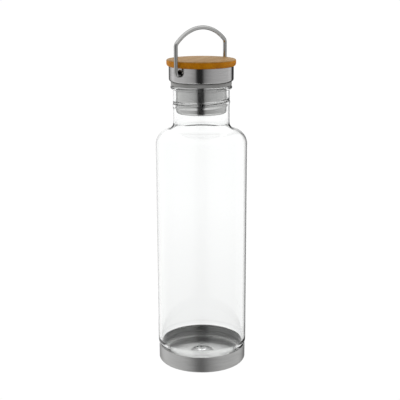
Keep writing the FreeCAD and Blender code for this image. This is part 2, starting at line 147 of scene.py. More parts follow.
def outline(corners, spacing=0):
    """Points (r, z) along a path of corners (r, z) or (r, z, round), with each round as an arc.
    Straight stretches longer than the spacing are divided."""
    spans = []
    last = len(corners) - 1
    for i, corner in enumerate(corners):
        here = Vector(corner[:2])
        radius = corner[2] if len(corner) > 2 and 0 < i < last else 0
        if not radius:
            spans.append([here])
            continue
        to_back = (Vector(corners[i - 1][:2]) - here).normalized()
        to_next = (Vector(corners[i + 1][:2]) - here).normalized()
        half = to_back.angle(to_next) / 2
        centre = here + (to_back + to_next).normalized() * (radius / math.sin(half))
        start = here + to_back * (radius / math.tan(half)) - centre
        sweep = start.angle_signed(here + to_next * (radius / math.tan(half)) - centre)
        steps = max(2, math.ceil(abs(sweep) / arc_step(radius)))
        arc = []
        for k in range(steps + 1):
            turn = -sweep * k / steps
            arc.append(centre + Vector((start.x * math.cos(turn) - start.y * math.sin(turn),
                                        start.x * math.sin(turn) + start.y * math.cos(turn))))
        spans.append(arc)
    points = []
    for span in spans:
        if points and spacing:
            gap = span[0] - points[-1]
            shares = math.ceil(gap.length / spacing)
            for k in range(1, shares):
                points.append(span[0] - gap * (1 - k / shares))
        points.extend(span)
    return points


def link(obj):
    bpy.context.scene.collection.objects.link(obj)
    return obj


def plain_mesh(obj, name):
    """What the modifiers make of obj, as a plain mesh object that takes its place."""
    bpy.context.view_layer.update()
    depsgraph = bpy.context.evaluated_depsgraph_get()
    mesh = bpy.data.meshes.new_from_object(obj.evaluated_get(depsgraph))
    bpy.data.objects.remove(obj)
    mesh.name = name
    return link(bpy.data.objects.new(name, mesh))


def finish_piece(obj, body, nodes=(), crease=32):
    """Welds and smooths a finished mesh and hands it to the frame."""
    mesh = obj.data
    work = bmesh.new()
    work.from_mesh(mesh)
    bmesh.ops.remove_doubles(work, verts=work.verts, dist=WELD)
    bmesh.ops.recalc_face_normals(work, faces=work.faces)
    for face in work.faces:
        face.smooth = True
    work.to_mesh(mesh)
    work.free()
    mesh.set_sharp_from_angle(angle=math.radians(crease))
    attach(obj, body)
    if nodes:
        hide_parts(*nodes)
    return obj


# ---- Geometry node trees -----------------------------------------------------------------------------------
class Nodes:
    """Adds and joins nodes in a tree."""

    def __init__(self, tree):
        self.tree = tree

    def node(self, kind, feeds=None, **settings):
        made = self.tree.nodes.new(kind)
        for key, value in settings.items():
            setattr(made, key, value)
        for key, value in (feeds or {}).items():
            self.feed(made.inputs[key], value)
        return made

    def feed(self, socket, value):
        if isinstance(value, bpy.types.NodeSocket):
            self.tree.links.new(value, socket)
        elif isinstance(value, bpy.types.Node):
            self.tree.links.new(value.outputs[0], socket)
        else:
            socket.default_value = value

    def math(self, operation, *values):
        return self.node("ShaderNodeMath", dict(enumerate(values)), operation=operation).outputs[0]


class Tree(Nodes):
    """A geometry node tree with named inputs, the last of which is its material."""

    def __init__(self, name, inputs):
        super().__init__(bpy.data.node_groups.new(name, "GeometryNodeTree"))
        face = self.tree.interface
        face.new_socket("Geometry", in_out="INPUT", socket_type="NodeSocketGeometry")
        self.ids = {}
        for label, kind in inputs + [("Material", "NodeSocketMaterial")]:
            self.ids[label] = face.new_socket(label, in_out="INPUT", socket_type=kind).identifier
        face.new_socket("Geometry", in_out="OUTPUT", socket_type="NodeSocketGeometry")
        self.given = self.tree.nodes.new("NodeGroupInput")
        self.result = self.tree.nodes.new("NodeGroupOutput")

    def finish(self, geometry):
        """Ends the tree in real geometry that carries its material."""
        whole = self.node("GeometryNodeRealizeInstances", {"Geometry": geometry})
        coat = self.given.outputs["Material"]
        painted = self.node("GeometryNodeSetMaterial", {"Geometry": whole, "Material": coat})
        self.feed(self.result.inputs[0], painted)
        return self

    def apply(self, obj, name, material, **values):
        """The tree's result on obj as a plain mesh object."""
        modifier = obj.modifiers.new(name, "NODES")
        modifier.node_group = self.tree
        modifier[self.ids["Material"]] = material
        for label, value in values.items():
            modifier[self.ids[label.replace("_", " ").capitalize()]] = value
        return plain_mesh(obj, name)


def turned_tree():
    """Turns an outline of (radius, 0, height) points about Z. A point's own push, lead and half width say how
    far a helical thread moves it in or out, where that thread starts and how wide it is."""
    t = Tree("turned_piece", [("Segments", "NodeSocketInt"), ("Pitch", "NodeSocketFloat"),
                              ("Start angle", "NodeSocketFloat"), ("Turns", "NodeSocketFloat")])
    given = t.given.outputs
    rows = t.node("GeometryNodeAttributeDomainSize", {0: given["Geometry"]}).outputs["Point Count"]
    around = t.math("ADD", given["Segments"], 1)
    grid = t.node("GeometryNodeMeshGrid", {"Vertices X": around, "Vertices Y": rows})
    index = t.node("GeometryNodeInputIndex").outputs[0]
    row = t.math("MODULO", index, rows)
    column = t.math("FLOOR", t.math("DIVIDE", index, rows))
    angle = t.math("MULTIPLY", t.math("DIVIDE", column, given["Segments"]), math.tau)

    def from_row(value, kind):
        found = t.node("GeometryNodeSampleIndex", {"Geometry": given["Geometry"], "Index": row},
                       data_type=kind)
        t.feed(found.inputs["Value"], value)
        return found.outputs[0]

    def named(name):
        stored = t.node("GeometryNodeInputNamedAttribute", {"Name": name}, data_type="FLOAT")
        return from_row(stored.outputs["Attribute"], "FLOAT")

    def run_out(turns):
        """A thread rises from the wall and sinks back into it over a short share of a turn."""
        return t.node("ShaderNodeMapRange", {"Value": turns, "From Min": -0.02, "From Max": 0.06},
                      interpolation_type="SMOOTHSTEP").outputs[0]

    place = from_row(t.node("GeometryNodeInputPosition").outputs[0], "FLOAT_VECTOR")
    split = t.node("ShaderNodeSeparateXYZ", {0: place}).outputs
    radius, height = split["X"], split["Z"]
    # Height above the thread's start in turns, less the share of a turn already gone round.
    climbed = t.math("DIVIDE", t.math("SUBTRACT", height, named("lead")), given["Pitch"])
    gone = t.math("FRACT", t.math("DIVIDE", t.math("SUBTRACT", angle, given["Start angle"]), math.tau))
    off = t.math("SUBTRACT", climbed, gone)
    nearest = t.math("ROUND", off)
    along = t.math("ADD", nearest, gone)
    distance = t.math("MULTIPLY", t.math("SUBTRACT", off, nearest), given["Pitch"])
    share = t.math("MINIMUM", t.math("ABSOLUTE", t.math("DIVIDE", distance, named("half_width"))), 1)
    crest = t.math("MULTIPLY", t.math("ADD", t.math("COSINE", t.math("MULTIPLY", share, math.pi)), 1), 0.5)
    left = t.math("SUBTRACT", given["Turns"], along)
    ends = t.math("MULTIPLY", run_out(along), run_out(left))
    push = t.math("MULTIPLY", t.math("MULTIPLY", crest, named("push")), ends)
    reach = t.math("ADD", radius, push)
    spot = t.node("ShaderNodeCombineXYZ", {"X": t.math("MULTIPLY", reach, t.math("COSINE", angle)),
                                          "Y": t.math("MULTIPLY", reach, t.math("SINE", angle)), "Z": height})
    moved = t.node("GeometryNodeSetPosition", {"Geometry": grid.outputs["Mesh"], "Position": spot})
    welded = t.node("GeometryNodeMergeByDistance", {"Geometry": moved, "Distance": WELD})
    return t.finish(welded)


def wire_tree():
    """Round wire of a given radius along a path, with closed ends."""
    t = Tree("bent_wire", [("Wire radius", "NodeSocketFloat"), ("Sides", "NodeSocketInt")])
    given = t.given.outputs
    path = t.node("GeometryNodeMeshToCurve", {0: given["Geometry"]})
    ring = t.node("GeometryNodeCurvePrimitiveCircle",
                  {"Resolution": given["Sides"], "Radius": given["Wire radius"]})
    tube = t.node("GeometryNodeCurveToMesh", {"Curve": path, "Profile Curve": ring, "Fill Caps": True})
    return t.finish(tube)


def ring_tree():
    """Copies of one small piece, evenly spaced round the Z axis."""
    t = Tree("spaced_round", [("Count", "NodeSocketInt"), ("Circle radius", "NodeSocketFloat"),
                              ("First angle", "NodeSocketFloat")])
    given = t.given.outputs
    circle = t.node("GeometryNodeMeshCircle", {"Vertices": given["Count"], "Radius": given["Circle radius"]})
    turn = t.node("ShaderNodeCombineXYZ", {"Z": given["First angle"]})
    placed = t.node("GeometryNodeTransform", {"Geometry": circle, "Rotation": turn})
    copies = t.node("GeometryNodeInstanceOnPoints", {"Points": placed, "Instance": given["Geometry"]})
    return t.finish(copies)


TURNED = turned_tree()
WIRE = wire_tree()
ROUND = ring_tree()


def outline_object(name, points, threads=()):
    """A line of points (radius, 0, height); threads are (low, high, inner, outer, push, lead, half width)."""
    mesh = bpy.data.meshes.new(name)
    mesh.from_pydata([(p[0], 0, p[1]) for p in points], [(i, i + 1) for i in range(len(points) - 1)], [])
    stored = {key: mesh.attributes.new(key, "FLOAT", "POINT").data for key in ("push", "lead", "half_width")}
    for i, (r, z) in enumerate(points):
        stored["half_width"][i].value = 1.0
        for low, high, inner, outer, push, lead, half in threads:
            if low < z < high and inner < r < outer:
                stored["push"][i].value = push
                stored["lead"][i].value = lead
                stored["half_width"][i].value = half
    return link(bpy.data.objects.new(name + "_outline", mesh))


def turned(name, points, material, threads=(), start_angle=0.0, turns=0.0, segments=TURN_SEGMENTS):
    return TURNED.apply(outline_object(name, points, threads), name, material, segments=segments,
                        pitch=THREAD_PITCH, start_angle=start_angle, turns=turns)


# ---- Shader groups -----------------------------------------------------------------------------------------
class Shade(Nodes):
    """The shader nodes of a material, a world or a shader group."""

    def span(self, value, low, high, new_low=0.0, new_high=1.0, smooth=False):
        kind = "SMOOTHSTEP" if smooth else "LINEAR"
        return self.node("ShaderNodeMapRange", {"Value": value, "From Min": low, "From Max": high,
                                               "To Min": new_low, "To Max": new_high},
                         interpolation_type=kind).outputs[0]

    def mix(self, share, first, second):
        made = self.node("ShaderNodeMix", data_type="RGBA")
        self.feed(made.inputs["Factor"], share)
        self.feed(made.inputs[6], first)
        self.feed(made.inputs[7], second)
        return made.outputs[2]

    def noise(self, place, scale, detail=3.0, roughness=0.5):
        return self.node("ShaderNodeTexNoise", {"Vector": place, "Scale": scale, "Detail": detail,
                                               "Roughness": roughness}, normalize=True).outputs["Fac"]

    def place(self):
        return self.node("ShaderNodeTexCoord").outputs["Object"]

    def combine(self, x=0.0, y=0.0, z=0.0):
        return self.node("ShaderNodeCombineXYZ", {"X": x, "Y": y, "Z": z}).outputs[0]

    def split(self, vector):
        parts = self.node("ShaderNodeSeparateXYZ", {0: vector}).outputs
        return parts["X"], parts["Y"], parts["Z"]

    def scaled(self, vector, factor):
        return self.node("ShaderNodeVectorMath", {0: vector, "Scale": factor}, operation="SCALE").outputs[0]

    def added(self, first, second):
        return self.node("ShaderNodeVectorMath", {0: first, 1: second}, operation="ADD").outputs[0]

    def from_axis(self, x, y):
        """Distance from the Z axis."""
        return self.math("SQRT", self.math("ADD", self.math("MULTIPLY", x, x), self.math("MULTIPLY", y, y)))


def shader_group(name, inputs, outputs):
    """A shader node group with named float or colour sockets."""
    tree = bpy.data.node_groups.new(name, "ShaderNodeTree")
    for label, value in inputs:
        kind = "NodeSocketColor" if isinstance(value, tuple) else "NodeSocketFloat"
        tree.interface.new_socket(label, in_out="INPUT", socket_type=kind).default_value = value
    for label, kind in outputs:
        tree.interface.new_socket(label, in_out="OUTPUT", socket_type=kind)
    shade = Shade(tree)
    return shade, shade.node("NodeGroupInput").outputs, shade.node("NodeGroupOutput").inputs


def use_group(shade, tree, **values):
    made = shade.node("ShaderNodeGroup", node_tree=tree)
    for label, value in values.items():
        shade.feed(made.inputs[label.replace("_", " ").capitalize()], value)
    return made.outputs


SCRATCHES = 5200.0    # per metre, across the brushing
BROAD_SHARE = 0.22    # broad scratches to one fine one


def round_brushing():
    """Fine scratches that run round the Z axis, on walls and on flat faces alike."""
    s, given, out = shader_group("round_brushing", [("Fineness", 1.0), ("Length", 1.0)],
                                 [("Lines", "NodeSocketFloat")])
    x, y, z = s.split(s.place())
    radius = s.from_axis(x, y)
    away = s.math("MAXIMUM", radius, 1 * MM)
    # The direction round the axis, drawn out so that one scratch runs a few millimetres to a few centimetres.
    turn = s.combine(s.math("DIVIDE", x, away), s.math("DIVIDE", y, away), 0.0)
    slow = s.scaled(turn, s.math("DIVIDE", 3.0, given["Length"]))
    fast = s.combine(0.0, s.math("MULTIPLY", radius, SCRATCHES), s.math("MULTIPLY", z, SCRATCHES))
    across = s.scaled(fast, given["Fineness"])
    fine = s.noise(s.added(slow, across), 1.0, detail=4.0, roughness=0.7)
    broad = s.noise(s.added(slow, s.scaled(across, BROAD_SHARE)), 1.0, detail=2.0)
    s.feed(out["Lines"], s.math("ADD", s.math("MULTIPLY", fine, 0.65), s.math("MULTIPLY", broad, 0.35)))
    return s.tree


def handling_marks():
    """Smears and fine dust from use: a slow cloud, broken up by small specks."""
    s, given, out = shader_group("handling_marks", [("Size", 1.0), ("Amount", 0.5)],
                                 [("Mask", "NodeSocketFloat")])
    place = s.scaled(s.place(), s.math("DIVIDE", 1.0, given["Size"]))
    cloud = s.span(s.noise(place, 55.0, detail=5.0, roughness=0.6), 0.42, 0.72, smooth=True)
    specks = s.span(s.noise(place, 2600.0, detail=2.0), 0.66, 0.78, smooth=True)
    both = s.math("ADD", s.math("MULTIPLY", cloud, 0.7), s.math("MULTIPLY", specks, 0.3))
    s.feed(out["Mask"], s.math("MULTIPLY", both, given["Amount"]))
    return s.tree


BRUSHING = round_brushing()
MARKS = handling_marks()


def bump(shade, height, strength, distance):
    return shade.node("ShaderNodeBump", {"Height": height, "Strength": strength, "Distance": distance})


def material(name):
    made = bpy.data.materials.new(name)
    made.use_nodes = True
    made.node_tree.nodes.clear()
    shade = Shade(made.node_tree)
    surface = shade.node("ShaderNodeBsdfPrincipled")
    shade.node("ShaderNodeOutputMaterial", {"Surface": surface})
    return made, shade, surface.inputs


def tint(*values):
    """Linear colour from the 0 to 255 values a maker would quote."""
    return tuple((v / 255) ** 2.2 for v in values) + (1.0,)


def grey(level):
    """Linear grey."""
    return (level, level, level, 1.0)


# ---- Materials ---------------------------------------------------------------------------------------------
def bottle_glass():
    """Clear glass with the slight waviness of a blown wall. It bends light a little less than real glass, so
    that its edges stay pale."""
    made, s, surface = material("bottle_glass")
    marks = use_group(s, MARKS, size=1.4, amount=0.5)["Mask"]
    wave = s.noise(s.place(), 38.0, detail=1.0)
    s.feed(surface["Base Color"], s.mix(marks, (0.995, 1.0, 0.998, 1), (0.985, 0.99, 0.988, 1)))
    s.feed(surface["Roughness"], s.span(marks, 0.0, 1.0, 0.0, 0.004))
    s.feed(surface["Normal"], bump(s, wave, 0.03, 0.1 * MM))
    surface["IOR"].default_value = 1.38
    surface["Transmission Weight"].default_value = 1.0
    return made


def bond_silicone():
    """Thin clear silicone that joins glass and cup: a nearly transparent film with a slight haze."""
    made, s, surface = material("bond_silicone_clear")
    cloud = s.noise(s.place(), 160.0, detail=2.0)
    s.feed(surface["Base Color"], s.mix(cloud, (0.72, 0.73, 0.72, 1), (0.6, 0.61, 0.6, 1)))
    s.feed(surface["Roughness"], s.span(cloud, 0.3, 0.7, 0.35, 0.5))
    surface["Specular IOR Level"].default_value = 0.2
    surface["Alpha"].default_value = 0.08
    return made


def brushed_steel(name, tone, roughness, fineness=1.0, length=1.0, relief=0.22, anisotropy=0.6,
                  inside=None):
    """Stainless steel, brushed round its axis. A smoother roughness may be given for the cup's inner wall;
    its floor then lies between the two."""
    made, s, surface = material(name)
    brushing = use_group(s, BRUSHING, fineness=fineness, length=length)
    marks = use_group(s, MARKS, size=0.9, amount=0.6)["Mask"]
    light = tuple(min(1.0, c * 1.06) for c in tone[:3]) + (1,)
    dark = tuple(c * 0.86 for c in tone[:3]) + (1,)
    lines = s.span(brushing["Lines"], 0.35, 0.65)
    s.feed(surface["Base Color"], s.mix(lines, dark, light))
    base = roughness
    if inside is not None:
        x, y, z = s.split(s.place())
        wall = CUP_RADIUS - CUP_SHEET
        floor_share = 0.55
        above_floor = s.span(z, cup_low.z + 2.4 * MM, cup_low.z + 3 * MM, floor_share, 1.0)
        within = s.span(s.from_axis(x, y), wall + 0.3 * MM, wall + 0.2 * MM)
        base = s.span(s.math("MULTIPLY", above_floor, within), 0.0, 1.0, roughness, inside)
    rough = s.math("MULTIPLY", base, s.span(lines, 0.0, 1.0, 1.2, 0.85))
    s.feed(surface["Roughness"], s.math("ADD", rough, s.math("MULTIPLY", marks, 0.05)))
    s.feed(surface["Normal"], bump(s, brushing["Lines"], relief, 0.02 * MM))
    surface["Metallic"].default_value = 1.0
    surface["Specular Tint"].default_value = grey(0.2)
    surface["Anisotropic"].default_value = anisotropy
    surface["Anisotropic Rotation"].default_value = 0.25
    s.feed(surface["Tangent"], s.node("ShaderNodeTangent", direction_type="RADIAL", axis="Z"))
    return made


def polished_wire():
    """Drawn stainless wire, polished, with faint draw lines and handling marks."""
    made, s, surface = material("polished_wire")
    marks = use_group(s, MARKS, size=0.5, amount=0.8)["Mask"]
    drawn = s.noise(s.place(), 900.0, detail=3.0)
    s.feed(surface["Base Color"], s.mix(drawn, tint(184, 184, 183), tint(194, 194, 193)))
    s.feed(surface["Roughness"], s.span(marks, 0.0, 1.0, 0.08, 0.16))
    s.feed(surface["Normal"], bump(s, drawn, 0.04, 0.02 * MM))
    surface["Metallic"].default_value = 1.0
    surface["Specular Tint"].default_value = grey(0.0)
    return made


def seal_silicone():
    made, s, surface = material("seal_silicone_grey")
    fine = s.noise(s.place(), 1500.0, detail=3.0)
    marks = use_group(s, MARKS, size=0.6, amount=0.8)["Mask"]
    s.feed(surface["Base Color"], s.mix(marks, tint(172, 172, 170), tint(188, 188, 186)))
    s.feed(surface["Roughness"], s.span(fine, 0.3, 0.7, 0.42, 0.55))
    s.feed(surface["Normal"], bump(s, fine, 0.15, 0.03 * MM))
    return made


def moulded_plastic(name, colour):
    made, s, surface = material(name)
    fine = s.noise(s.place(), 1900.0, detail=2.0)
    s.feed(surface["Base Color"], s.mix(fine, colour, tuple(c * 1.25 for c in colour[:3]) + (1,)))
    s.feed(surface["Roughness"], s.span(fine, 0.3, 0.7, 0.4, 0.55))
    s.feed(surface["Normal"], bump(s, fine, 0.2, 0.03 * MM))
    return made


GRAIN_ANGLE = math.radians(-18)


def bamboo():
    """Solid bamboo board, oiled: straight fibres along the grain, pale on the face and deeper at the edge."""
    made, s, surface = material("oiled_bamboo")
    grain = s.node("ShaderNodeMapping", {"Vector": s.place(), "Rotation": (0, 0, GRAIN_ANGLE)})
    x, y, z = s.split(grain)

    def drawn_out(along, across, through):
        """Place in a pattern that is drawn out along the grain; the numbers are repeats per metre."""
        return s.combine(s.math("MULTIPLY", x, along), s.math("MULTIPLY", y, across),
                         s.math("MULTIPLY", z, through))

    fibres = s.noise(drawn_out(18.0, 900.0, 900.0), 1.0, detail=4.0, roughness=0.62)
    streaks = s.noise(drawn_out(9.0, 210.0, 210.0), 1.0, detail=2.0)
    strips = s.noise(drawn_out(0.0, 62.0, 30.0), 1.0, detail=1.0)
    rim = s.span(z, DISC_TOP - 0.2 * MM, DISC_TOP - 1.1 * MM, smooth=True)
    face = s.mix(s.span(fibres, 0.35, 0.68), tint(176, 139, 84), tint(156, 117, 62))
    face = s.mix(s.math("MULTIPLY", s.span(streaks, 0.42, 0.7), 0.45), face, tint(137, 96, 43))
    face = s.mix(s.math("MULTIPLY", s.span(strips, 0.4, 0.65), 0.3), face, tint(170, 122, 56))
    side = s.mix(s.span(fibres, 0.35, 0.68), tint(233, 153, 1), tint(206, 125, 0))
    side = s.mix(s.math("MULTIPLY", s.span(streaks, 0.45, 0.7), 0.4), side, tint(178, 100, 0))
    wood = s.mix(rim, face, side)
    # Painted shade: the spigot inside the shell is a dull grey-brown standing in for the shade in the slots,
    # so no bright wood shows.
    spigot = s.math("LESS_THAN", z, shell_high.z - 0.01 * MM)
    s.feed(surface["Base Color"], s.mix(spigot, wood, tint(120, 112, 104)))
    s.feed(surface["Roughness"], s.span(fibres, 0.3, 0.7, 0.5, 0.62))
    s.feed(surface["Normal"], bump(s, fibres, 0.12, 0.05 * MM))
    surface["Specular IOR Level"].default_value = 0.15
    surface["Coat Weight"].default_value = 0.02
    surface["Coat Roughness"].default_value = 0.25
    return made


GLASS = bottle_glass()
BOND = bond_silicone()
CUP_STEEL = brushed_steel("brushed_cup_steel", tint(214, 214, 213), 0.42, relief=0.3, anisotropy=0.3,
                          inside=0.2)
LID_STEEL = brushed_steel("brushed_lid_steel", tint(206, 205, 205), 0.18)
PLUG_STEEL = brushed_steel("satin_plug_steel", tint(210, 210, 209), 0.13, fineness=0.8, length=1.5)
SCREW_STEEL = brushed_steel("plain_screw_steel", tint(190, 190, 190), 0.3, anisotropy=0.0)
BAIL_STEEL = polished_wire()
SEAL = seal_silicone()
CORE_PLASTIC = moulded_plastic("core_plastic_grey", tint(140, 140, 138))
BUSH_PLASTIC = moulded_plastic("bush_plastic_pale", tint(225, 223, 218))
BAMBOO = bamboo()


# ---- Bottle ------------------------------------------------------------------------------------------------
THREAD_ANGLE = math.radians(50)
THREAD_LEAD = PLUG_BOTTOM + 4.4 * MM
PLUG_THREAD_TURNS = 1.0
NECK_THREAD_TURNS = 1.1
PLUG_THREAD_HALF = 2.6 * MM
NECK_THREAD_HALF_INSIDE = 1.6 * MM
NECK_THREAD_HALF_OUTSIDE = 2.2 * MM
NECK_THREAD_RIDGE = 0.45 * MM      # how far it stands out on the outside of the neck
NECK_THREAD_OFFSET = 2.2 * MM      # by how much the bore's thread starts above the plug's


def build_glass():
    """Closed wall: outside from the push-up to the lip, then back down inside."""
    bottom = glass_low.z
    slope = math.tan(SHOULDER_SLOPE)
    rim = CUP_TOP + BOND_GAP
    flare = rim + FLARE_HEIGHT
    half_turn = math.tan((math.pi / 2 - SHOULDER_SLOPE) / 2)
    lip_bottom = LIP_TOP - LIP_HEIGHT
    neck_foot = lip_bottom - NECK_LENGTH - NECK_FOOT_ROUND * half_turn
    shoulder = neck_foot - (BODY_RADIUS - NECK_RADIUS) * slope
    inner = BODY_RADIUS - GLASS_WALL
    inner_shoulder = shoulder + GLASS_WALL * (slope - 1 / math.cos(SHOULDER_SLOPE))
    inner_foot = inner_shoulder + (inner - NECK_BORE) * slope
    floor = bottom + GLASS_FLOOR
    thread_low = PLUG_BOTTOM - 2 * MM
    thread_high = lip_bottom - 1 * MM
    outside = outline([
        (0, bottom + PUSH_UP),
        (PUSH_UP_CROWN, bottom + PUSH_UP, PUSH_UP_ROUND),
        (PUSH_UP_FOOT, bottom, PUSH_UP_ROUND),
        (SEAT_RADIUS, bottom, HEEL_ROUND),
        (SEAT_RADIUS, rim),
        (CUP_RADIUS, rim, 0.2 * MM),
        (BODY_RADIUS, flare, FLARE_ROUND),
        (BODY_RADIUS, shoulder, SHOULDER_ROUND),
        (NECK_RADIUS, neck_foot, NECK_FOOT_ROUND),
        (NECK_RADIUS, thread_low),
    ], spacing=WALL_STEP)
    threads_outside = outline([(NECK_RADIUS, thread_low), (NECK_RADIUS, thread_high)], spacing=THREAD_STEP)
    lip = outline([
        (NECK_RADIUS, thread_high),
        (NECK_RADIUS, lip_bottom, 0.6 * MM),
        (LIP_RADIUS, lip_bottom, LIP_ROUND),
        (LIP_RADIUS, LIP_TOP, LIP_ROUND),
        (NECK_BORE, LIP_TOP, 0.9 * MM),
        (NECK_BORE, lip_bottom),
    ])
    threads_inside = outline([(NECK_BORE, lip_bottom), (NECK_BORE, thread_low)], spacing=THREAD_STEP)
    inside = outline([
        (NECK_BORE, thread_low),
        (NECK_BORE, inner_foot, NECK_FOOT_ROUND + NECK_RADIUS - NECK_BORE),
        (inner, inner_shoulder, SHOULDER_ROUND - GLASS_WALL),
        (inner, flare + GLASS_WALL, FLARE_ROUND),
        (SEAT_RADIUS - GLASS_WALL, rim, FLARE_ROUND),
        (SEAT_RADIUS - GLASS_WALL, floor, 4.5 * MM),
        (PUSH_UP_FOOT, floor, PUSH_UP_ROUND),
        (PUSH_UP_CROWN, floor + PUSH_UP, PUSH_UP_ROUND),
        (0, floor + PUSH_UP),
    ], spacing=WALL_STEP)
    points = outside + threads_outside[1:] + lip[1:] + threads_inside[1:] + inside[1:]
    threads = [
        (thread_low, thread_high, NECK_RADIUS - WALL_BAND, NECK_RADIUS + WALL_BAND,
         NECK_THREAD_RIDGE, THREAD_LEAD, NECK_THREAD_HALF_OUTSIDE),
        (thread_low, thread_high, NECK_BORE - WALL_BAND, NECK_BORE + WALL_BAND,
         -THREAD_HEIGHT, THREAD_LEAD + NECK_THREAD_OFFSET, NECK_THREAD_HALF_INSIDE),
    ]
    piece = turned("glass_bottle", points, GLASS, threads, THREAD_ANGLE, NECK_THREAD_TURNS)
    return finish_piece(piece, "bottle", ["glass_body"], crease=60)


def build_cup():
    """Drawn sheet cup with a raised centre panel."""
    bottom = cup_low.z
    top_of_panel = bottom + PANEL_RISE
    run = 0.6 * MM
    points = outline([
        (0, top_of_panel),
        (PANEL_RADIUS - run, top_of_panel, 0.4 * MM),
        (PANEL_RADIUS + run, bottom, 0.9 * MM),
        (CUP_RADIUS, bottom, CUP_CORNER),
        (CUP_RADIUS, CUP_TOP, SHEET_EDGE),
        (CUP_RADIUS - CUP_SHEET, CUP_TOP, SHEET_EDGE),
        (CUP_RADIUS - CUP_SHEET, bottom + CUP_SHEET, CUP_CORNER - CUP_SHEET),
        (PANEL_RADIUS + run, bottom + CUP_SHEET, 0.4 * MM),
        (PANEL_RADIUS - run, top_of_panel + CUP_SHEET, 0.9 * MM),
        (0, top_of_panel + CUP_SHEET),
    ])
    piece = turned("base_cup_steel", points, CUP_STEEL)
    return finish_piece(piece, "bottle", ["base_cup"], crease=50)


# ---- Lid ---------------------------------------------------------------------------------------------------
def build_seal():
    inner = PLUG_RADIUS + 0.1 * MM
    points = outline([
        (inner, seal_low.z),
        (SEAL_RADIUS, seal_low.z, 0.5 * MM),
        (SEAL_RADIUS, seal_high.z, 0.5 * MM),
        (inner, seal_high.z),
        (inner, seal_low.z),
    ])
    return finish_piece(turned("seal_gasket", points, SEAL), "seal", ["seal_ring"])


def slot_cutter():
    """Upright slot, rounded at both ends, right through the shell along X."""
    half = WIRE_RADIUS + SLOT_PLAY
    low = PIVOT - WIRE_RADIUS - 0.1 * MM + half
    high = shell_high.z - 0.7 * MM - half
    ring = []
    steps = 14
    for centre, first in ((high, 0.0), (low, math.pi)):
        for k in range(steps + 1):
            a = first + math.pi * k / steps
            ring.append((half * math.cos(a), centre + half * math.sin(a)))
    reach = SHELL_RADIUS + 2 * MM
    work = bmesh.new()
    near = [work.verts.new((-reach, y, z)) for y, z in ring]
    far = [work.verts.new((reach, y, z)) for y, z in ring]
    work.faces.new(near)
    work.faces.new(list(reversed(far)))
    for k in range(len(ring)):
        j = (k + 1) % len(ring)
        work.faces.new((near[j], near[k], far[k], far[j]))
    bmesh.ops.recalc_face_normals(work, faces=work.faces)
    mesh = bpy.data.meshes.new("slot_cutter")
    work.to_mesh(mesh)
    work.free()
    mesh.materials.append(LID_STEEL)
    return link(bpy.data.objects.new("slot_cutter", mesh))


def build_shell():
    """Sheet ring with a bottom flange, and a slot cut through each side."""
    bottom, top = shell_low.z, shell_high.z
    hole = PLUG_RADIUS + 0.1 * MM
    points = outline([
        (hole, bottom),
        (SHELL_RADIUS, bottom, SHELL_CORNER),
        (SHELL_RADIUS, top),
        (SHELL_RADIUS - LID_SHEET, top),
        (SHELL_RADIUS - LID_SHEET, bottom + LID_SHEET, SHELL_CORNER - LID_SHEET),
        (hole, bottom + LID_SHEET),
        (hole, bottom),
    ], spacing=1.2 * MM)
    whole = turned("lid_shell_steel", points, LID_STEEL)
    cutter = slot_cutter()
    cut = whole.modifiers.new("slots", "BOOLEAN")
    cut.operation, cut.solver, cut.object = "DIFFERENCE", "EXACT", cutter
    piece = plain_mesh(whole, "lid_shell_steel")
    bpy.data.objects.remove(cutter)
    return finish_piece(piece, "lid", ["lid_shell"])


def build_plug():
    """Deep sheet plug with a rolled thread, open and flanged at the top."""
    thread_foot = PLUG_BOTTOM + 2.4 * MM
    inner = PLUG_RADIUS - LID_SHEET
    top = plug_high.z
    under = top - LID_SHEET
    outside = outline([
        (0, PLUG_BOTTOM),
        (PLUG_RADIUS, PLUG_BOTTOM, PLUG_CORNER),
        (PLUG_RADIUS, thread_foot),
    ])
    wall = outline([(PLUG_RADIUS, thread_foot), (PLUG_RADIUS, LIP_TOP)], spacing=THREAD_STEP)
    rest = outline([
        (PLUG_RADIUS, LIP_TOP),
        (PLUG_RADIUS, under, SHEET_EDGE),
        (PLUG_FLANGE_RADIUS, under, SHEET_EDGE),
        (PLUG_FLANGE_RADIUS, top, SHEET_EDGE),
        (inner, top, 0.8 * MM),
        (inner, PLUG_BOTTOM + LID_SHEET, PLUG_CORNER - LID_SHEET),
        (0, PLUG_BOTTOM + LID_SHEET),
    ])
    threads = [(thread_foot, LIP_TOP, PLUG_RADIUS - WALL_BAND, PLUG_RADIUS + WALL_BAND,
                THREAD_HEIGHT, THREAD_LEAD, PLUG_THREAD_HALF)]
    piece = turned("thread_plug_steel", outside + wall[1:] + rest[1:], PLUG_STEEL, threads, THREAD_ANGLE,
                   PLUG_THREAD_TURNS)
    return finish_piece(piece, "lid", ["thread_plug"], crease=50)


def build_disc():
    """Round board with a spigot that drops into the shell."""
    joint = shell_high.z + 0.02 * MM
    spigot = SHELL_RADIUS - LID_SHEET - 0.1 * MM
    points = outline([
        (0, disc_low.z),
        (spigot, disc_low.z, 0.2 * MM),
        (spigot, joint),
        (DISC_RADIUS, joint, 2.3 * MM),
        (DISC_RADIUS, DISC_TOP, 1.0 * MM),
        (0, DISC_TOP),
    ])
    return finish_piece(turned("bamboo_top", points, BAMBOO), "lid", ["bamboo_disc"])


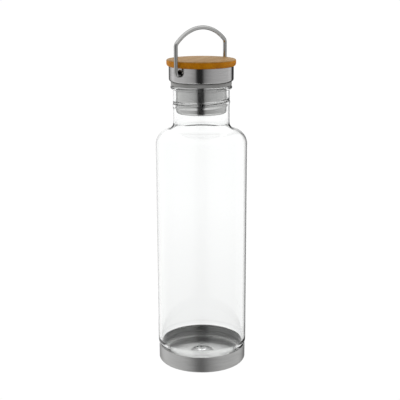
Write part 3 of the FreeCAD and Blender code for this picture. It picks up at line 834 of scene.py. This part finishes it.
def build_bail():
    """Path of the wire's centre: in from each bush, a hook, a leg, a tight shoulder and a wide arch."""
    leg = bail_high.x - WIRE_RADIUS
    top = bail_high.z - WIRE_RADIUS
    arch, shoulder, hook = 46.0 * MM, 4.0 * MM, 3.0 * MM
    arch_centre = top - arch
    shoulder_x = leg - shoulder
    shoulder_z = arch_centre + math.sqrt((arch - shoulder) ** 2 - shoulder_x ** 2)
    lean = math.atan2(shoulder_z - arch_centre, shoulder_x)
    end = bush_low.x + 0.3 * MM
    half = [Vector((end, 0, PIVOT))]

    def bend(x, z, radius, first, last, steps):
        for k in range(steps + 1):
            a = first + (last - first) * k / steps
            half.append(Vector((x + radius * math.cos(a), 0, z + radius * math.sin(a))))

    bend(leg - hook, PIVOT + hook, hook, -math.pi / 2, 0, 14)
    bend(shoulder_x, shoulder_z, shoulder, 0, lean, 12)
    bend(0, arch_centre, arch, lean, math.pi / 2, 30)
    path = half + [Vector((-p.x, 0, p.z)) for p in reversed(half[:-1])]
    mesh = bpy.data.meshes.new("bail_path")
    mesh.from_pydata([tuple(p) for p in path], [(i, i + 1) for i in range(len(path) - 1)], [])
    base = link(bpy.data.objects.new("bail_path", mesh))
    piece = WIRE.apply(base, "bail_wire", BAIL_STEEL, wire_radius=WIRE_RADIUS, sides=28)
    return finish_piece(piece, "handle", ["bail_handle"], crease=50)


def build_screws():
    """Pan-head screws under the bamboo, one turned and set three times round the axis."""
    low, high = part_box("disc_screw_1")
    centre = (low + high) / 2
    head = 1.9 * MM
    head_radius = (high.x - low.x) / 2
    shank = 1.5 * MM
    points = outline([
        (0, low.z + 0.9 * MM),
        (0.5 * MM, low.z + 0.9 * MM),
        (1.1 * MM, low.z),
        (head_radius, low.z, 0.9 * MM),
        (head_radius, low.z + head, 0.2 * MM),
        (shank, low.z + head),
        (shank, high.z - shank),
        (0.3 * MM, high.z),
        (0, high.z),
    ])
    one = turned("one_screw", points, SCREW_STEEL, segments=32)
    piece = ROUND.apply(one, "disc_screws", SCREW_STEEL, count=3, circle_radius=centre.y,
                        first_angle=math.pi / 2)
    return finish_piece(piece, "lid", ["disc_screw_1", "disc_screw_2", "disc_screw_3"])


def paint_node(name, finish):
    """A CAD node keeps its shape and gets its finish."""
    slots = frame["nodes"][name].data.materials
    slots.clear()
    slots.append(finish)


build_glass()
build_cup()
build_seal()
build_shell()
build_plug()
build_disc()
build_bail()
build_screws()
paint_node("base_bond", BOND)
paint_node("lid_core", CORE_PLASTIC)
paint_node("pivot_bush_left", BUSH_PLASTIC)
paint_node("pivot_bush_right", BUSH_PLASTIC)


# ---- Camera ------------------------------------------------------------------------------------------------
VIEW_AZIMUTH = math.radians(-50.62)
VIEW_TILT = math.radians(14.33)
VIEW_ROLL = math.radians(-0.2)
VIEW_PAN = math.radians(0.106)
VIEW_DISTANCE = 0.720
VIEW_HEIGHT = 0.3214
VIEW_LENS = 81.3


def make_camera():
    toward_camera = Vector((math.sin(VIEW_AZIMUTH), -math.cos(VIEW_AZIMUTH), 0))
    look = Quaternion((0, 0, 1), VIEW_PAN) @ -toward_camera * math.cos(VIEW_TILT)
    look.z = -math.sin(VIEW_TILT)
    data = bpy.data.cameras.new("camera")
    data.sensor_width = 36
    data.lens = VIEW_LENS
    data.clip_start = 0.01
    data.clip_end = 100
    camera = link(bpy.data.objects.new("camera", data))
    camera.location = toward_camera * VIEW_DISTANCE + Vector((0, 0, VIEW_HEIGHT))
    camera.rotation_mode = "QUATERNION"
    camera.rotation_quaternion = look.to_track_quat("-Z", "Y") @ Quaternion((0, 0, 1), VIEW_ROLL)
    bpy.context.scene.camera = camera


make_camera()


# ---- Studio ------------------------------------------------------------------------------------------------
WHITE = grey(1.0)
HIGH_LIGHT = 1.45
SWEEP_LEVEL = 1.02


def light_ramp(shade, around, stops):
    """Light level by direction round the tent: stops are (degrees from the front, level)."""
    ramp = shade.node("ShaderNodeValToRGB", {"Fac": around})
    elements = ramp.color_ramp.elements
    elements.remove(elements[-1])
    elements[0].position = 0
    elements[0].color = grey(stops[0][1])
    for degrees, level in stops:
        elements.new(degrees / 360 + 0.5).color = grey(level)
    return ramp.outputs[0]


def studio():
    """White tent: two soft side walls, a narrow dark gap at the front, another right of the backdrop and a
    half-dark one left of it. What the pieces reflect, what the glass gathers and what is seen straight
    through it each have their own level, and the camera itself sees plain white."""
    scene = bpy.context.scene
    scene.view_settings.view_transform = "Standard"
    world = bpy.data.worlds.new("white_tent")
    scene.world = world
    world.use_nodes = True
    world.node_tree.nodes.clear()
    s = Shade(world.node_tree)
    direction = s.node("ShaderNodeTexCoord").outputs["Generated"]
    turned_round = s.node("ShaderNodeVectorRotate", {"Vector": direction, "Angle": -VIEW_AZIMUTH},
                          rotation_type="Z_AXIS").outputs[0]
    x, y, z = s.split(turned_round)
    # 0.5 is the front of the tent, and 0 and 1 are the middle of the backdrop.
    around = s.math("ADD", s.math("DIVIDE", s.math("ARCTAN2", x, s.math("MULTIPLY", y, -1.0)), math.tau), 0.5)
    left = [(-118, 1.0), (-108, 0.74), (-90, 0.66), (-60, 0.6), (-38, 0.52), (-22, 0.36)]
    right = [(22, 0.36), (40, 0.48), (60, 0.54), (90, 0.6), (108, 0.66), (118, 0.85)]
    left_gap = [(-176, 1.0), (-166, 0.95), (-160, 0.5), (-150, 0.5), (-144, 1.05)]
    front_gap = [(-15, 0.02), (4, 0.02), (12, 0.25)]
    right_gap = [(130, 1.0), (137, 0.2), (146, 0.06), (160, 0.06), (168, 0.95), (176, 1.0)]
    gapped = light_ramp(s, around, left_gap + left + front_gap + right + right_gap)
    front_gap_inside = [(-13, 0.0), (9, 0.0), (16, 0.25)]
    closed = light_ramp(s, around, [(-176, 1.0)] + left + front_gap_inside + right + [(133, 1.0), (176, 1.0)])
    path = s.node("ShaderNodeLightPath").outputs
    inside = s.math("GREATER_THAN", path["Transmission Depth"], 0.5)
    # Overhead the tent is white. From inside the glass it has no gaps at the back, and away from the front
    # gap it is white below and high up too. A brighter light stands high behind the bottle.
    tent = s.mix(s.span(z, 0.55, 0.85, smooth=True), gapped, WHITE)
    clear_low = s.span(z, -0.38, -0.5, smooth=True)
    clear_high = s.span(z, 0.3, 0.5, smooth=True)
    off_front = s.span(s.math("ABSOLUTE", s.math("SUBTRACT", around, 0.5)), 0.045, 0.075, smooth=True)
    fill = s.math("MULTIPLY", s.math("ADD", clear_low, clear_high), off_front)
    seen_in = s.mix(fill, closed, WHITE)
    tent = s.mix(inside, tent, seen_in)
    high_back = s.math("MULTIPLY", s.span(z, 0.1, 0.45, smooth=True), s.span(y, 0.1, 0.6, smooth=True))
    tent = s.mix(high_back, tent, grey(HIGH_LIGHT))
    # What the edge of the glass gathers from round it, then what is seen straight through it.
    rim = light_ramp(s, around, [(-178, 1.0), (-120, 1.0), (120, 0.95), (150, 0.95),
                                 (161, 0.35), (174, 0.35), (178, 0.9)])
    rim = s.mix(clear_low, rim, WHITE)
    backdrop = s.span(z, -0.25, -0.45, 1.045, 0.86)
    bounced = s.math("GREATER_THAN", s.math("ADD", path["Glossy Depth"], path["Diffuse Depth"]), 0.5)
    through = path["Is Transmission Ray"]
    clear = s.math("MULTIPLY", through, s.math("SUBTRACT", 1.0, bounced))
    shallow = s.math("MULTIPLY", through, s.math("LESS_THAN", path["Transmission Depth"], 3.5))
    seen = s.mix(shallow, tent, rim)
    seen = s.mix(clear, seen, s.combine(backdrop, backdrop, backdrop))
    seen = s.mix(path["Is Camera Ray"], seen, WHITE)
    background = s.node("ShaderNodeBackground", {"Color": seen, "Strength": 1.0})
    s.node("ShaderNodeOutputWorld", {"Surface": background})


def floor():
    """White sweep that the bottle stands on. It glows evenly, so that it runs into the backdrop, and it is
    left out of reflections and of what the glass shows."""
    size = 9.0
    mesh = bpy.data.meshes.new("floor")
    level = cad_box[0].z - 0.05 * MM
    mesh.from_pydata([(-size, -size, level), (size, -size, level), (size, size, level), (-size, size, level)],
                     [], [(0, 1, 2, 3)])
    made = bpy.data.materials.new("white_sweep")
    made.use_nodes = True
    made.node_tree.nodes.clear()
    s = Shade(made.node_tree)
    glow = s.node("ShaderNodeEmission", {"Color": WHITE, "Strength": SWEEP_LEVEL})
    s.node("ShaderNodeOutputMaterial", {"Surface": glow})
    mesh.materials.append(made)
    sweep = link(bpy.data.objects.new("floor", mesh))
    sweep.visible_glossy = False
    sweep.visible_transmission = False
    sweep.visible_diffuse = False


studio()
floor()
